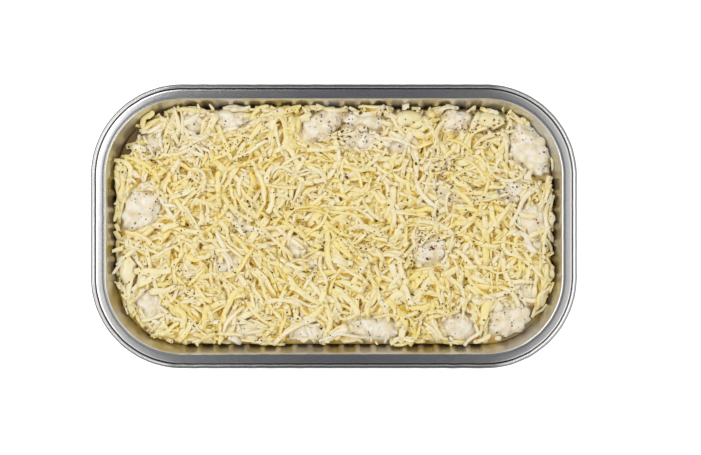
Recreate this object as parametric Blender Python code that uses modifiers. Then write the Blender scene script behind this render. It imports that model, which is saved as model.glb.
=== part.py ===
"""Ready meal in a pressed foil tray: chicken and macaroni in cream sauce under grated cheese.

The tray lies with its length along X and its base on Z = 0, centred on the origin.
Everything is in metres. Run with: blender --background --python part.py
"""

import math
import random

import bmesh
import bpy
from mathutils import Euler, Vector, noise

MM = 0.001
SHARP_ANGLE = math.radians(50.0)

# The tray, as pressed: its rim, its mouth and its depth.
TRAY_LENGTH = 230.0 * MM
TRAY_WIDTH = 134.6 * MM
RIM_HEIGHT = 40.0 * MM
RIM_CORNER_RADIUS = 43.5 * MM
FOIL = 0.5 * MM
CORNER_STEPS = 7

# The rim from outside to inside: a rolled bead, a groove and a flat flange.
BEAD_WIDTH = 2.1 * MM
BEAD_RISE = 0.6 * MM
BEAD_DROP = 1.7 * MM
GROOVE_INSET = 2.4 * MM
GROOVE_WIDTH = 0.8 * MM
GROOVE_DEPTH = 0.5 * MM
MOUTH_INSET = 6.6 * MM

# The wall leans in towards the base, with upright flutes under a plain band.
BAND_HEIGHT = 36.0 * MM
BAND_INSET = 7.6 * MM
WALL_LEAN = 0.36
WALL_FOOT_HEIGHT = 2.4 * MM
FOOT_ROUND = 1.6 * MM
FOOT_WIDTH = 6.0 * MM
PANEL_RISE = 1.0 * MM
FLUTE_DEPTH = 0.8 * MM
FLUTE_RUNOUT = 1.4 * MM
FLUTES_LONG_SIDE = 19
FLUTES_SHORT_SIDE = 6
# One flute: the share of its pitch along the wall, and of its depth.
FLUTE_SHAPE = ((0.15, 0.0), (0.45, 1.0), (0.85, 1.0))

# The food, filled to well under the rim.
GAP = 0.35 * MM
SAUCE_BOTTOM = FOIL + PANEL_RISE + GAP
SAUCE_TOP = 27.4 * MM
CHEESE_BOTTOM = SAUCE_TOP + GAP
CHEESE_TOP = 31.7 * MM
CHEESE_SWELL = 0.8 * MM
CHEESE_SWELL_SPACING = 24.0 * MM
CHEESE_EDGE_INSET = 0.2 * MM
CHEESE_EDGE_WAVE = 0.5 * MM
CHEESE_EDGE_SAG = 1.2 * MM
CHEESE_EDGE_SAG_REACH = 13.0 * MM
CHEESE_CELL = 14.0 * MM

# Grated strands that are large enough to stand out from the layer of cheese.
STRAND_WIDTH = (2.4 * MM, 3.8 * MM)
STRAND_THICKNESS = 1.5 * MM
STRAND_LENGTH = (14.0 * MM, 34.0 * MM)
STRAND_LIFT = 0.45 * MM
STRAND_BEND = 42.0
STRAND_STATIONS = 3
STRAND_PITCH = 18.0 * MM
STRAND_CLEARANCE = 1.0 * MM
STRAND_SEED = 11

# Diced chicken coated in sauce. Each row is x, y, half length and half width in mm,
# the turn in degrees about Z, and the height of its top in mm.
CHICKEN = (
    (-92.6, 7.2, 9.4, 8.8, 65.0, 34.5),
    (-87.6, -37.0, 8.0, 6.4, -55.0, 34.4),
    (-86.6, 39.4, 6.0, 5.4, 40.0, 34.0),
    (-66.4, 48.6, 6.2, 4.6, 10.0, 33.8),
    (-48.6, 49.8, 9.4, 4.3, 2.0, 34.0),
    (-6.0, 46.8, 8.8, 5.6, 35.0, 34.6),
    (14.4, 50.2, 9.0, 3.8, -4.0, 34.0),
    (13.0, 40.6, 8.0, 4.4, -8.0, 34.2),
    (57.0, 48.4, 7.2, 5.2, -6.0, 34.3),
    (92.0, 36.4, 11.8, 7.2, -56.0, 34.6),
    (84.6, 17.2, 6.6, 6.0, 20.0, 34.5),
    (95.2, 2.6, 8.0, 6.6, -62.0, 34.6),
    (96.8, -10.0, 3.6, 3.0, 10.0, 33.8),
    (81.4, -43.6, 10.6, 6.4, 14.0, 34.5),
    (91.2, -31.2, 4.4, 3.6, -30.0, 34.0),
    (58.6, -47.6, 7.8, 6.2, -20.0, 34.6),
    (17.6, -48.6, 13.2, 4.9, -7.0, 34.4),
    (-13.0, -49.8, 7.6, 4.4, 6.0, 33.8),
    (-42.0, -49.4, 7.6, 4.4, 14.0, 33.7),
    (46.0, -12.0, 8.6, 5.8, 16.0, 34.2),
    (-19.6, -9.6, 6.0, 5.0, -26.0, 33.8),
    (-10.2, -16.6, 3.6, 3.0, 30.0, 33.4),
    (-42.8, 1.6, 6.2, 5.2, 80.0, 33.8),
    (-50.6, -18.0, 6.0, 4.8, 12.0, 33.7),
    (-10.5, 23.4, 3.8, 3.0, 15.0, 33.4),
    (30.0, 36.4, 5.0, 4.4, 60.0, 33.8),
    (52.0, 29.4, 4.0, 3.8, 0.0, 33.6),
    (52.0, 14.8, 7.0, 5.0, -15.0, 33.9),
)
CHICKEN_DEPTH = 12.5 * MM
CHICKEN_AROUND = 9
CHICKEN_RINGS = 6
CUTTER_AROUND = 8
CUTTER_RINGS = 5
CHICKEN_SQUARENESS = 0.82
CHICKEN_LUMPS = 0.15
CHICKEN_LUMP_SPACING = 1.25
CUTTER_GROWTH = 1.24

# Elbow macaroni. Each row is x, y and z of the middle of the bend in mm, then its roll,
# pitch and turn in degrees; with neither roll nor pitch it lies flat, bent away from its turn.
MACARONI = (
    (35.4, 51.4, 30.2, 0.0, 0.0, 90.0),
    (74.4, 50.6, 30.2, 0.0, 0.0, 86.0),
    (-98.6, -20.8, 30.0, 0.0, 0.0, 180.0),
)
MACARONI_BORE = 2.7 * MM
MACARONI_WALL = 1.3 * MM
MACARONI_BEND = 6.4 * MM
MACARONI_SWEEP = 100.0
MACARONI_SIDES = 8
MACARONI_STEPS = 5

FOIL_FINISH = ("foil", (0.78, 0.79, 0.80), 0.32, 1.0)
SAUCE_FINISH = ("cream_sauce", (0.84, 0.72, 0.46), 0.45, 0.0)
CHEESE_FINISH = ("grated_cheese", (0.87, 0.78, 0.45), 0.5, 0.0)
CHICKEN_FINISH = ("creamed_chicken", (0.87, 0.81, 0.70), 0.4, 0.0)
PASTA_FINISH = ("macaroni", (0.86, 0.72, 0.40), 0.45, 0.0)


def clear_scene():
    """Empties the scene that Blender starts with."""
    for found in list(bpy.data.objects):
        bpy.data.objects.remove(found)


def new_collection(name, helper=False):
    """A collection in the scene; a helper's objects are cutters, left out of the render."""
    made = bpy.data.collections.new(name)
    bpy.context.scene.collection.children.link(made)
    made.hide_render = helper
    return made


def material(name, colour, roughness, metallic):
    """A Principled material with one colour, roughness and metallic value."""
    made = bpy.data.materials.new(name)
    made.use_nodes = True
    shader = made.node_tree.nodes["Principled BSDF"]
    shader.inputs["Base Color"].default_value = (*colour, 1.0)
    shader.inputs["Roughness"].default_value = roughness
    shader.inputs["Metallic"].default_value = metallic
    return made


def object_from(bm, name, collection, finish=None, flat_faces=True):
    """Turns a bmesh into an object of its own, outward-facing, in the collection."""
    bmesh.ops.recalc_face_normals(bm, faces=bm.faces)
    if not flat_faces:
        bmesh.ops.triangulate(bm, faces=bm.faces)
    mesh = bpy.data.meshes.new(name)
    bm.to_mesh(mesh)
    bm.free()
    mesh.shade_smooth()
    mesh.set_sharp_from_angle(angle=SHARP_ANGLE)
    if finish:
        mesh.materials.append(finish)
    made = bpy.data.objects.new(name, mesh)
    collection.objects.link(made)
    if not finish:
        made.hide_render = True
        made.display_type = "WIRE"
    return made


def apply_modifiers(thing):
    """Replaces an object's mesh by what its modifiers make of it."""
    graph = bpy.context.evaluated_depsgraph_get()
    mesh = bpy.data.meshes.new_from_object(thing.evaluated_get(graph))
    thing.modifiers.clear()
    thing.data = mesh


def boolean(thing, operation, operand, solver="EXACT"):
    """Joins, cuts or trims an object by another, or by all the objects of a collection."""
    modifier = thing.modifiers.new(operation.lower(), "BOOLEAN")
    modifier.operation = operation
    modifier.solver = solver
    if isinstance(operand, bpy.types.Collection):
        modifier.operand_type = "COLLECTION"
        modifier.collection = operand
    else:
        modifier.object = operand
    apply_modifiers(thing)


def remove_all(collection):
    """Removes a collection of helpers with its objects."""
    for helper in list(collection.objects):
        bpy.data.objects.remove(helper)
    bpy.data.collections.remove(collection)


def corner_centres():
    """The centres of the tray's four rounded corners, counter-clockwise from above."""
    x = TRAY_LENGTH / 2 - RIM_CORNER_RADIUS
    y = TRAY_WIDTH / 2 - RIM_CORNER_RADIUS
    return (Vector((x, y)), Vector((-x, y)), Vector((-x, -y)), Vector((x, -y)))


def wall_inset(height):
    """How far in from the rim's outer edge the wall's outer face stands at a height."""
    return BAND_INSET + WALL_LEAN * (BAND_HEIGHT - height)


def food_inset(height):
    """The least inset of food at a height, clear of the flutes on the wall's inner face."""
    return wall_inset(height) + FLUTE_DEPTH + FOIL * math.hypot(1.0, WALL_LEAN) + GAP


def outline_corner(corner, inset):
    """The points of one corner of the rim's outline, moved in by the inset."""
    centre = corner_centres()[corner]
    radius = RIM_CORNER_RADIUS - inset
    points = []
    for step in range(CORNER_STEPS + 1):
        angle = math.radians(90.0 * (corner + step / CORNER_STEPS))
        points.append(centre + radius * Vector((math.cos(angle), math.sin(angle))))
    return points


def fluted_side(start, end, flutes, depth):
    """Points along one straight side, standing in towards the tray's middle at each flute."""
    along = end - start
    inward = Vector((-along.y, along.x)).normalized()
    points = []
    for flute in range(flutes):
        for share, stand in FLUTE_SHAPE:
            points.append(start + along * (flute + share) / flutes + inward * depth * stand)
    return points


def add_ring(bm, inset, height, flute_depth=None):
    """One level of the tray: four corners, and four sides that are fluted or plain."""
    corners = [outline_corner(corner, inset) for corner in range(4)]
    ring = {"corners": [], "sides": []}
    for corner in range(4):
        side = []
        if flute_depth is not None:
            flutes = FLUTES_SHORT_SIDE if corner % 2 else FLUTES_LONG_SIDE
            following = corners[(corner + 1) % 4][0]
            side = fluted_side(corners[corner][-1], following, flutes, flute_depth)
        ring["corners"].append([bm.verts.new((*p, height)) for p in corners[corner]])
        ring["sides"].append([bm.verts.new((*p, height)) for p in side])
    return ring


def join_chains(bm, lower, upper):
    """Faces between two chains of points: quads, or one face where their counts differ."""
    if len(lower) != len(upper):
        bm.faces.new([*lower, *reversed(upper)])
        return
    for i in range(len(lower) - 1):
        bm.faces.new((lower[i], lower[i + 1], upper[i + 1], upper[i]))


def join_rings(bm, lower, upper):
    """The band of faces between two levels of the tray."""
    for corner in range(4):
        following = (corner + 1) % 4
        join_chains(bm, lower["corners"][corner], upper["corners"][corner])
        chains = []
        for ring in (lower, upper):
            first = ring["corners"][corner][-1]
            last = ring["corners"][following][0]
            chains.append([first, *ring["sides"][corner], last])
        join_chains(bm, *chains)


def cap_ring(bm, ring):
    """One flat face across a level that has plain sides."""
    bm.faces.new([vert for corner in ring["corners"] for vert in corner])


def tray_levels():
    """The tray's underside as levels of inset, height and flute depth, from base to bead."""
    foot = wall_inset(WALL_FOOT_HEIGHT)
    panel = foot + FOOT_ROUND + FOOT_WIDTH
    flute_top = BAND_HEIGHT - FLUTE_RUNOUT
    bead = BEAD_WIDTH / 2
    under = bead - FOIL
    middle = RIM_HEIGHT + BEAD_RISE - bead
    flange = RIM_HEIGHT - FOIL
    return (
        (panel + PANEL_RISE, PANEL_RISE, None),
        (panel, 0.0, None),
        (foot + FOOT_ROUND, 0.0, FLUTE_DEPTH / 2),
        (foot, WALL_FOOT_HEIGHT, FLUTE_DEPTH),
        (wall_inset(flute_top), flute_top, FLUTE_DEPTH),
        (BAND_INSET, BAND_HEIGHT, 0.0),
        (MOUTH_INSET, flange, None),
        (GROOVE_INSET + GROOVE_WIDTH, flange - 0.1 * MM, None),
        (GROOVE_INSET, flange - GROOVE_DEPTH, None),
        (bead + under, middle - GROOVE_DEPTH / 2, None),
        (bead, middle + under, None),
        (bead - 0.75 * under, middle + 0.66 * under, None),
        (bead - under, middle, None),
        (bead - 0.6 * under, RIM_HEIGHT - BEAD_DROP, None),
    )


def make_foil_tray(collection):
    """The pressed tray: its underside as a loft of levels, thickened inwards by the foil."""
    bm = bmesh.new()
    rings = [add_ring(bm, *level) for level in tray_levels()]
    cap_ring(bm, rings[0])
    for lower, upper in zip(rings, rings[1:]):
        join_rings(bm, lower, upper)
    tray = object_from(bm, "foil_tray", collection, material(*FOIL_FINISH))
    shell = tray.modifiers.new("foil", "SOLIDIFY")
    shell.thickness = FOIL
    shell.offset = 1.0
    shell.use_even_offset = True
    return tray


def food_block(name, collection, bottom, top, extra_inset=0.0, wave=0.0, finish=None):
    """A plain block that fills the tray between two heights; its edge may wave in and out."""
    bm = bmesh.new()
    rings = []
    for height in (bottom, top):
        ring = add_ring(bm, food_inset(height) + extra_inset, height, 0.0 if wave else None)
        rings.append(ring)
        for vert in [v for part in ring.values() for chain in part for v in chain]:
            flat = Vector((vert.co.x, vert.co.y, 0.0))
            shift = noise.noise(flat / (2.0 * CHEESE_EDGE_SAG_REACH) + Vector((7.0, 4.0, 0.0)))
            vert.co -= flat.normalized() * wave * (1.0 + shift)
    join_rings(bm, *rings)
    for ring in rings:
        chains = [ring["corners"][k] + ring["sides"][k] for k in range(4)]
        bm.faces.new([vert for chain in chains for vert in chain])
    return object_from(bm, name, collection, finish, flat_faces=False)


def lumpy_ball(around, rings, lumps, seed):
    """A unit ball, squared off a little and pushed in and out by smooth noise."""
    bm = bmesh.new()
    bmesh.ops.create_uvsphere(bm, u_segments=around, v_segments=rings, radius=1.0)
    offset = Vector((seed * 7.3, seed * 3.1, seed * 1.7))
    for vert in bm.verts:
        direction = vert.co.normalized()
        swell = 1.0 + lumps * noise.noise(direction * CHICKEN_LUMP_SPACING + offset)
        square = [math.copysign(abs(c) ** CHICKEN_SQUARENESS, c) for c in direction]
        vert.co = Vector(square) * swell
    return bm


def place_chicken(thing, row):
    """Puts a piece of chicken, or its cutter, where its row says, turned about Z."""
    x, y, _, _, turn, top = row
    thing.location = (x * MM, y * MM, top * MM - CHICKEN_DEPTH / 2)
    thing.rotation_euler = (0.0, 0.0, math.radians(turn))


def chicken_size(row):
    """Half the length, width and depth of a piece of chicken."""
    return Vector((row[2] * MM, row[3] * MM, CHICKEN_DEPTH / 2))


def make_chicken(name, collection, row, seed, finish):
    """One piece of chicken from its row of the table."""
    bm = lumpy_ball(CHICKEN_AROUND, CHICKEN_RINGS, CHICKEN_LUMPS, seed)
    bmesh.ops.scale(bm, vec=chicken_size(row), verts=bm.verts)
    piece = object_from(bm, name, collection, finish)
    place_chicken(piece, row)
    return piece


def chicken_cutter(name, collection, row):
    """A plainer ball, grown and then a gap larger all round, to make room for a piece."""
    bm = lumpy_ball(CUTTER_AROUND, CUTTER_RINGS, 0.0, 0)
    room = chicken_size(row) * CUTTER_GROWTH + Vector((GAP, GAP, GAP))
    bmesh.ops.scale(bm, vec=room, verts=bm.verts)
    cutter = object_from(bm, name, collection)
    place_chicken(cutter, row)
    return cutter


def place_macaroni(thing, row):
    """Puts a bend where its row says, with the middle of its axis on the row's point."""
    rotation = Euler([math.radians(angle) for angle in row[3:]])
    back = rotation.to_matrix() @ Vector((MACARONI_BEND, 0.0, 0.0))
    thing.location = Vector(row[:3]) * MM - back
    thing.rotation_euler = rotation


def macaroni_arc(radius, sides, collection, name, finish=None):
    """A ring of edges of the tube's radius, swept round the bend by a Screw modifier."""
    bm = bmesh.new()
    half_sweep = math.radians(MACARONI_SWEEP / 2)
    made = bmesh.ops.create_circle(bm, segments=sides, radius=radius, cap_ends=False)
    for vert in made["verts"]:
        out = MACARONI_BEND + vert.co.x
        vert.co = (out * math.cos(-half_sweep), out * math.sin(-half_sweep), vert.co.y)
    mesh = bpy.data.meshes.new(name)
    bm.to_mesh(mesh)
    bm.free()
    bend = bpy.data.objects.new(name, mesh)
    collection.objects.link(bend)
    if finish:
        mesh.materials.append(finish)
    sweep = bend.modifiers.new("bend", "SCREW")
    sweep.angle = 2 * half_sweep
    sweep.axis = "Z"
    sweep.steps = sweep.render_steps = MACARONI_STEPS
    sweep.use_merge_vertices = False
    return bend


def make_macaroni(name, collection, row, finish):
    """One elbow of macaroni: a bent tube with open ends."""
    elbow = macaroni_arc(MACARONI_BORE + MACARONI_WALL, MACARONI_SIDES, collection, name, finish)
    wall = elbow.modifiers.new("wall", "SOLIDIFY")
    wall.thickness = MACARONI_WALL
    wall.offset = -1.0
    wall.use_even_offset = True
    place_macaroni(elbow, row)
    return elbow


def macaroni_cutter(name, collection, row):
    """A closed bent rod a gap larger than the elbow all round, to make room for it."""
    tube = MACARONI_BORE + MACARONI_WALL
    radius = tube / math.cos(math.pi / MACARONI_SIDES) + GAP
    half_sweep = math.radians(MACARONI_SWEEP / 2) + GAP / (MACARONI_BEND - tube)
    bm = bmesh.new()
    bmesh.ops.create_circle(bm, segments=MACARONI_SIDES, radius=radius, cap_ends=True)
    for vert in bm.verts:
        out = MACARONI_BEND + vert.co.x
        vert.co = (out * math.cos(half_sweep), -out * math.sin(half_sweep), vert.co.y)
    swept = bmesh.ops.spin(
        bm,
        geom=[*bm.verts, *bm.edges, *bm.faces],
        cent=(0.0, 0.0, 0.0),
        axis=(0.0, 0.0, 1.0),
        angle=2 * half_sweep,
        steps=MACARONI_STEPS,
    )
    assert swept["geom_last"]
    rod = object_from(bm, name, collection)
    place_macaroni(rod, row)
    return rod


def cheese_height(x, y):
    """The top of the layer of cheese: smooth swells that sink towards the wall."""
    place = Vector((x, y, 0.0)) / CHEESE_SWELL_SPACING
    edge_x = max(0.0, abs(x) - (TRAY_LENGTH / 2 - food_inset(CHEESE_TOP) - CHEESE_EDGE_SAG_REACH))
    edge_y = max(0.0, abs(y) - (TRAY_WIDTH / 2 - food_inset(CHEESE_TOP) - CHEESE_EDGE_SAG_REACH))
    near_wall = min(1.0, math.hypot(edge_x, edge_y) / CHEESE_EDGE_SAG_REACH)
    return CHEESE_TOP + CHEESE_SWELL * noise.noise(place) - CHEESE_EDGE_SAG * near_wall**2


def make_cheese_layer(collection, finish):
    """The layer of cheese before strands are joined on: a swelling top over a flat base."""
    bm = bmesh.new()
    cells_x = round(TRAY_LENGTH / CHEESE_CELL)
    cells_y = round(TRAY_WIDTH / CHEESE_CELL)
    bmesh.ops.create_grid(bm, x_segments=cells_x, y_segments=cells_y, size=0.5)
    for vert in bm.verts:
        vert.co.x *= TRAY_LENGTH
        vert.co.y *= TRAY_WIDTH
        vert.co.z = cheese_height(vert.co.x, vert.co.y)
    rim = [edge for edge in bm.edges if edge.is_boundary]
    lowered = bmesh.ops.extrude_edge_only(bm, edges=rim)["geom"]
    for vert in [g for g in lowered if isinstance(g, bmesh.types.BMVert)]:
        vert.co.z = CHEESE_BOTTOM
    base = [g for g in lowered if isinstance(g, bmesh.types.BMEdge)]
    bmesh.ops.contextual_create(bm, geom=base)
    return object_from(bm, "grated_cheese", collection, finish, flat_faces=False)


def in_food_outline(x, y, margin):
    """Whether a point lies inside the food's rounded outline, by at least the margin."""
    reach = RIM_CORNER_RADIUS - food_inset(CHEESE_TOP) - margin
    out_x = max(0.0, abs(x) - (TRAY_LENGTH / 2 - RIM_CORNER_RADIUS))
    out_y = max(0.0, abs(y) - (TRAY_WIDTH / 2 - RIM_CORNER_RADIUS))
    return math.hypot(out_x, out_y) < reach


def on_topping(x, y, margin):
    """Whether a point in plan comes within the margin of a piece of chicken or macaroni."""
    for cx, cy, length, width, turn, _ in CHICKEN:
        angle = math.radians(turn)
        dx = x - cx * MM
        dy = y - cy * MM
        u = (dx * math.cos(angle) + dy * math.sin(angle)) / (length * MM + margin)
        v = (dy * math.cos(angle) - dx * math.sin(angle)) / (width * MM + margin)
        if u * u + v * v < 1.0:
            return True
    reach = MACARONI_BEND + margin
    return any(math.hypot(x - row[0] * MM, y - row[1] * MM) < reach for row in MACARONI)


def strand_point(start, heading, bend, distance):
    """A point and heading on a circular arc that leaves start with the given heading."""
    turned = heading + bend * distance
    if abs(bend) < 1e-6:
        return start + distance * Vector((math.cos(heading), math.sin(heading))), turned
    across = Vector((math.sin(turned) - math.sin(heading), math.cos(heading) - math.cos(turned)))
    return start + across / bend, turned


def make_strand(name, collection, middle, heading, bend, length, width):
    """One grated strand: a box cut into stations, bent along an arc over the cheese."""
    bm = bmesh.new()
    bmesh.ops.create_cube(bm, size=1.0)
    for cut in range(1, STRAND_STATIONS):
        plane = (cut / STRAND_STATIONS - 0.5, 0.0, 0.0)
        whole = [*bm.verts, *bm.edges, *bm.faces]
        bmesh.ops.bisect_plane(bm, geom=whole, plane_co=plane, plane_no=(1.0, 0.0, 0.0))
    for vert in bm.verts:
        along, across, up = vert.co
        centre, turned = strand_point(middle, heading, bend, along * length)
        taper = 1.0 - 3.2 * abs(along) ** 3
        side = Vector((-math.sin(turned), math.cos(turned)))
        spot = centre + side * across * width * taper
        rest = cheese_height(centre.x, centre.y) + STRAND_LIFT
        vert.co = (spot.x, spot.y, rest + up * STRAND_THICKNESS)
    return object_from(bm, name, collection, flat_faces=False)


def scatter_strands(collection):
    """Strands on a staggered grid, skipped where they would reach a topping or the wall."""
    draw = random.Random(STRAND_SEED)
    rows = round(TRAY_WIDTH / STRAND_PITCH)
    columns = round(TRAY_LENGTH / STRAND_PITCH)
    for row in range(rows):
        for column in range(columns):
            x = (column + 0.5 * (row % 2) + 0.25 - columns / 2) * STRAND_PITCH
            y = (row + 0.5 - rows / 2) * STRAND_PITCH
            stray = Vector((draw.uniform(-0.3, 0.3), draw.uniform(-0.3, 0.3)))
            middle = Vector((x, y)) + stray * STRAND_PITCH
            heading = draw.uniform(0.0, math.pi)
            bend = math.radians(draw.uniform(-STRAND_BEND, STRAND_BEND)) / STRAND_LENGTH[0]
            length = draw.uniform(*STRAND_LENGTH)
            width = draw.uniform(*STRAND_WIDTH)
            for _ in range(3):
                stations = [i / 8 - 0.5 for i in range(9)]
                path = [strand_point(middle, heading, bend, s * length)[0] for s in stations]
                fits = all(in_food_outline(p.x, p.y, width + STRAND_CLEARANCE) for p in path)
                if fits and not any(on_topping(p.x, p.y, width) for p in path):
                    name = f"strand_{row}_{column}"
                    make_strand(name, collection, middle, heading, bend, length, width)
                    break
                length *= 0.7


def main():
    """Builds the tray and its food, each piece a solid of its own."""
    clear_scene()
    meal = new_collection("foil_tray_meal")
    cutters = new_collection("cutters", helper=True)
    strands = new_collection("strands", helper=True)

    make_foil_tray(meal)
    chicken_finish = material(*CHICKEN_FINISH)
    pasta_finish = material(*PASTA_FINISH)
    for number, row in enumerate(CHICKEN, start=1):
        name = f"chicken_piece_{number:02d}"
        make_chicken(name, meal, row, number, chicken_finish)
        chicken_cutter(f"cutter_{name}", cutters, row)
    for number, row in enumerate(MACARONI, start=1):
        name = f"macaroni_{number}"
        make_macaroni(name, meal, row, pasta_finish)
        macaroni_cutter(f"cutter_{name}", cutters, row)

    sauce_finish = material(*SAUCE_FINISH)
    sauce = food_block("cream_sauce", meal, SAUCE_BOTTOM, SAUCE_TOP, GAP, finish=sauce_finish)
    boolean(sauce, "DIFFERENCE", cutters)

    cheese = make_cheese_layer(meal, material(*CHEESE_FINISH))
    highest = CHEESE_TOP + 4 * CHEESE_SWELL
    outline = food_block(
        "outline", strands, CHEESE_BOTTOM - GAP, highest, CHEESE_EDGE_INSET, CHEESE_EDGE_WAVE
    )
    boolean(cheese, "INTERSECT", outline)
    bpy.data.objects.remove(outline)
    scatter_strands(strands)
    boolean(cheese, "UNION", strands)
    boolean(cheese, "DIFFERENCE", cutters)
    for helpers in (strands, cutters):
        remove_all(helpers)


main()
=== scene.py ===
"""A ready meal in its foil tray: creamed chicken and macaroni under grated cheese."""

import math

import bpy
import numpy as np
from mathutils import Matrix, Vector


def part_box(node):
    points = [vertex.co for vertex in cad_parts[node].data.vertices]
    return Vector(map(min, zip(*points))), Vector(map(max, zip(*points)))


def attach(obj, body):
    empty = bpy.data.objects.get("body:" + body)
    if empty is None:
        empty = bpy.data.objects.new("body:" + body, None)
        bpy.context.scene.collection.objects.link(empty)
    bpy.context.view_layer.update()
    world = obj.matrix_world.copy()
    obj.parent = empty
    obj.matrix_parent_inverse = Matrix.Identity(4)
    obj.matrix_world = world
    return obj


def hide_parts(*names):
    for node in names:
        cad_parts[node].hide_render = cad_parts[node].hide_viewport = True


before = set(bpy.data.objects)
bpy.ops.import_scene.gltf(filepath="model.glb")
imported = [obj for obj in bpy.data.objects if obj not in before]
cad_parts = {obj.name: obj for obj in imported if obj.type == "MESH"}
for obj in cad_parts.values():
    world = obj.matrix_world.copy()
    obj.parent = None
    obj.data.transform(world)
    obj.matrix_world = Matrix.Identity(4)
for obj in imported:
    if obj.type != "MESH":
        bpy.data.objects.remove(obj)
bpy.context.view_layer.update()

# The foil tray: thin aluminium pressed in one stroke, so the foil gathers into upright
# flutes on the straight walls and into fine pleats round the lip's corners. The edge is
# rolled over into a bead with a groove inside it, and the food is filled into it.
MM = 0.001
TRAY_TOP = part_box("foil_tray")[1][2]
TRAY_LENGTH = 230.0 * MM
TRAY_WIDTH = 134.6 * MM
CORNER_RADIUS = 43.5 * MM
CORE_X = TRAY_LENGTH / 2 - CORNER_RADIUS
CORE_Y = TRAY_WIDTH / 2 - CORNER_RADIUS
FOIL = 0.22 * MM
BAND_HEIGHT = 36.0 * MM
BAND_INSET = 8.1 * MM
WALL_LEAN = 0.36
FOOT_HEIGHT = 2.4 * MM
ARCH_TOP = 37.2 * MM
FLUTE_DEPTH = 0.9 * MM
FLUTES_LONG_SIDE = 19
FLUTES_SHORT_SIDE = 6
POINTS_PER_FLUTE = 10
POINTS_PER_CORNER = 48
CHANNEL_SHARE = 0.78
GROOVE_INSET = 2.32 * MM
BEAD_INSET = 1.9 * MM
PLEAT_PITCH = 0.85 * MM
PLEAT_RELIEF = 0.03 * MM
FOIL_BRIGHT = (0.87, 0.87, 0.88, 1.0)
FOIL_DRAWN = (0.8, 0.79, 0.775, 1.0)
# The dark colour painted into the groove as shade and onto the bead's upper outer face as a dark
# reflection.
FOIL_PAINTED_SHADE = (0.2, 0.2, 0.21, 1.0)
STREAK_CELLS = (60.0, 1800.0, 400.0)
DENT_CELLS = 260.0


def ripples(points, size, seed, waves=24):
    """Smooth noise, about -1 to 1: a sum of plane waves of about the given size, each with
    a random direction and phase, divided by the square root of half their number."""
    draw = np.random.default_rng(seed)
    dims = points.shape[-1]
    push = draw.normal(size=(dims, waves))
    push *= 2 * np.pi / (size * draw.uniform(0.7, 1.6, waves) * np.linalg.norm(push, axis=0))
    phase = draw.uniform(0, 2 * np.pi, waves)
    return np.sin(points @ push + phase).sum(-1) / math.sqrt(waves / 2) / 1.5


def ease(amount):
    """0 below 0 and 1 above 1, with the smooth cubic 3t^2 - 2t^3 between."""
    t = np.clip(amount, 0.0, 1.0)
    return t * t * (3.0 - 2.0 * t)


def grid_faces(rows, columns, wrap_rows=False, wrap_columns=False):
    """The quads of a grid of points, which may close on itself along either side."""
    i = np.arange(rows if wrap_rows else rows - 1)[:, None]
    j = np.arange(columns if wrap_columns else columns - 1)[None, :]
    across = (j + 1) % columns
    down = (i + 1) % rows
    corners = (i * columns + j, i * columns + across, down * columns + across, down * columns + j)
    return np.stack([np.broadcast_to(c, (len(i), j.size)).ravel() for c in corners], axis=1)


def add_object(name, data):
    """A new object in the scene, from a mesh, a lamp or a camera."""
    made = bpy.data.objects.new(name, data)
    bpy.context.scene.collection.objects.link(made)
    return made


def piece_from(name, points, faces, finish, **values):
    """A smooth mesh piece from points and faces, with a float attribute for each value."""
    mesh = bpy.data.meshes.new(name)
    mesh.from_pydata(points.reshape(-1, 3), [], faces)
    mesh.validate()
    mesh.shade_smooth()
    mesh.materials.append(finish)
    for title, amounts in values.items():
        layer = mesh.attributes.new(title, "FLOAT", "POINT")
        layer.data.foreach_set("value", np.ascontiguousarray(amounts, np.float32).ravel())
    return add_object(name, mesh)


def new_finish(name, colour, roughness, **settings):
    """A material with its Principled shader's colour, roughness and named settings."""
    made = bpy.data.materials.new(name)
    made.use_nodes = True
    shader = made.node_tree.nodes["Principled BSDF"]
    shader.inputs["Base Color"].default_value = colour
    shader.inputs["Roughness"].default_value = roughness
    for title, value in settings.items():
        shader.inputs[title.replace("_", " ")].default_value = value
    return made, made.node_tree, shader


def feed(tree, value, socket):
    """Links another node's output to a socket, or gives the socket a plain value."""
    if isinstance(value, bpy.types.NodeSocket):
        tree.links.new(value, socket)
    else:
        socket.default_value = value


def read_value(tree, title):
    """One of the mesh's float attributes."""
    node = tree.nodes.new("ShaderNodeAttribute")
    node.attribute_name = title
    return node.outputs["Fac"]


def noise(tree, place, scale, detail=2.0):
    """Noise at a place, with so many cells in each unit of it."""
    node = tree.nodes.new("ShaderNodeTexNoise")
    node.inputs["Detail"].default_value = detail
    feed(tree, place, node.inputs["Vector"])
    feed(tree, scale, node.inputs["Scale"])
    return node.outputs["Fac"]


def compute(tree, operation, *values):
    """A Math node's result from outputs or plain numbers."""
    node = tree.nodes.new("ShaderNodeMath")
    node.operation = operation
    for socket, value in zip(node.inputs, values):
        feed(tree, value, socket)
    return node.outputs["Value"]


def map_range(tree, value, given, wanted, kind):
    """A value carried from the given pair of ends to the wanted pair, straight or eased."""
    node = tree.nodes.new("ShaderNodeMapRange")
    node.interpolation_type = kind
    feed(tree, value, node.inputs["Value"])
    for title, number in zip(("From Min", "From Max", "To Min", "To Max"), given + wanted):
        node.inputs[title].default_value = number
    return node.outputs["Result"]


def mix_colours(tree, share, first, second):
    """The first colour at share 0, the second at share 1, and mixed between."""
    node = tree.nodes.new("ShaderNodeMix")
    node.data_type = "RGBA"
    feed(tree, share, node.inputs["Factor"])
    feed(tree, first, node.inputs["A"])
    feed(tree, second, node.inputs["B"])
    return node.outputs["Result"]


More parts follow.
